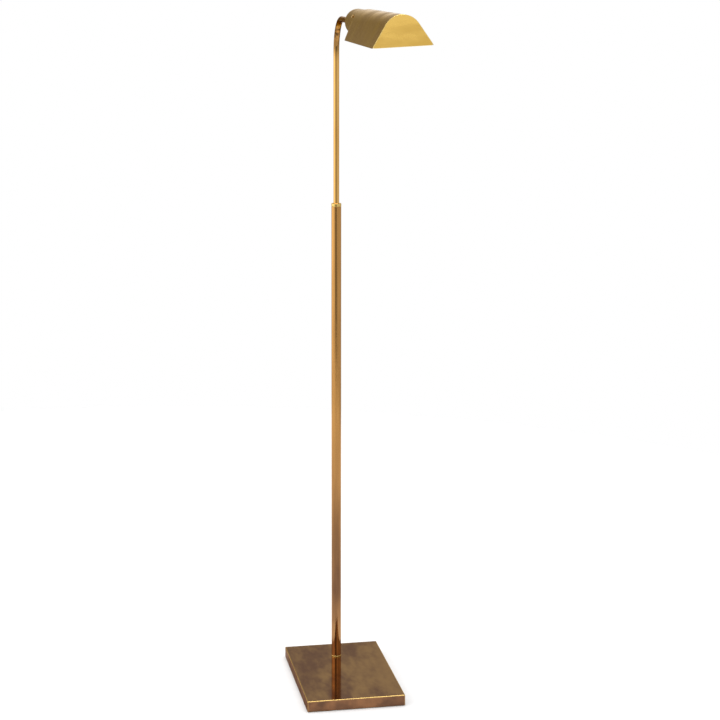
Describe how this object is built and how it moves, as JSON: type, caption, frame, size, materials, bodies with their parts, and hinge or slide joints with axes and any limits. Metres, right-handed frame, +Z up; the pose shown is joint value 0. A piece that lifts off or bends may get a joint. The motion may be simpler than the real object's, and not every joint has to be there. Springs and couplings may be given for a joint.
{
  "type": "pharmacy floor lamp",
  "caption": "Floor lamp with a weighted rectangular base, a telescoping swivelling pole with a bent arm, and a tilting arched metal shade over a tubular bulb.",
  "frame": {"origin": "on the pole's axis, at floor level under the felt", "axes": "+Z up along the pole; -Y toward the shade, the lamp's front; +X to the lamp's right seen from the front"},
  "size_m": [0.165, 0.585, 1.1469],
  "materials": {
    "antique_brass": "hand-rubbed antique brass, mottled, semi-gloss",
    "tube_brass": "antique brass tube, darker toward the foot, semi-gloss",
    "rod_brass": "rubbed brass, glossier than the base",
    "bright_brass": "bright rubbed brass",
    "plate_brass": "satin golden brass",
    "steel": "zinc-plated steel",
    "cast_iron": "raw casting, sealed",
    "felt": "dark green felt",
    "rubber": "moulded rubber",
    "nylon": "natural nylon",
    "lead_sheath": "brown sheathed two-core lead",
    "fibre": "vulcanised fibre",
    "phenolic": "black phenolic moulding",
    "bulb_glass": "frosted glass"
  },
  "bodies": {
    "stand": {"base_cover": "antique_brass", "base_weight": "cast_iron", "base_felt": "felt", "cord_grommet": "rubber", "stem_nipple": "steel", "nipple_nut": "steel", "lock_washer": "steel", "foot_ring": "bright_brass", "tube_foot_plug": "steel", "lower_tube": "tube_brass", "tube_collar": "bright_brass", "collar_bush": "nylon", "lead_lower": "lead_sheath"},
    "glide": {"glide_bush": "nylon"},
    "arm": {"arm_rod": "rod_brass", "glide_clip_lower": "steel", "glide_clip_upper": "steel", "lead_upper": "lead_sheath", "swivel_nipple": "steel", "swivel_collar": "rod_brass", "friction_washer": "fibre", "spring_washer": "steel", "swivel_nut": "steel"},
    "head": {"socket_cup": "antique_brass", "cup_set_screw": "bright_brass", "dimmer_body": "phenolic", "dimmer_nut": "bright_brass", "socket_body": "phenolic", "socket_shell": "bright_brass", "socket_contact": "bright_brass", "shade_ring": "rod_brass", "bulb_cap": "steel", "bulb_glass": "bulb_glass", "shade_rear_plate": "antique_brass", "shade_body": "antique_brass", "shade_front_plate": "plate_brass"},
    "knob": {"dimmer_shaft": "steel", "dimmer_knob": "rod_brass"}
  },
  "joints": [
    {"name": "height_slide", "type": "slide", "parent": "stand", "child": "glide", "axis": [0, 0, 1], "range_m": [-0.24, 0.38], "deforming": ["lead_lower"]},
    {"name": "arm_swivel", "type": "hinge", "parent": "glide", "child": "arm", "pos_m": [0, 0, 0.8], "axis": [0, 0, 1], "range_deg": [-175, 175]},
    {"name": "shade_tilt", "type": "hinge", "parent": "arm", "child": "head", "pos_m": [0, -0.192, 1.1245], "axis": [0, -1, 0], "range_deg": [-92.9, 87.1]},
    {"name": "dimmer_turn", "type": "hinge", "parent": "head", "child": "knob", "pos_m": [0, -0.22, 1.1245], "axis": [0.9987, 0, 0.0506], "range_deg": [0, 300]}
  ]
}
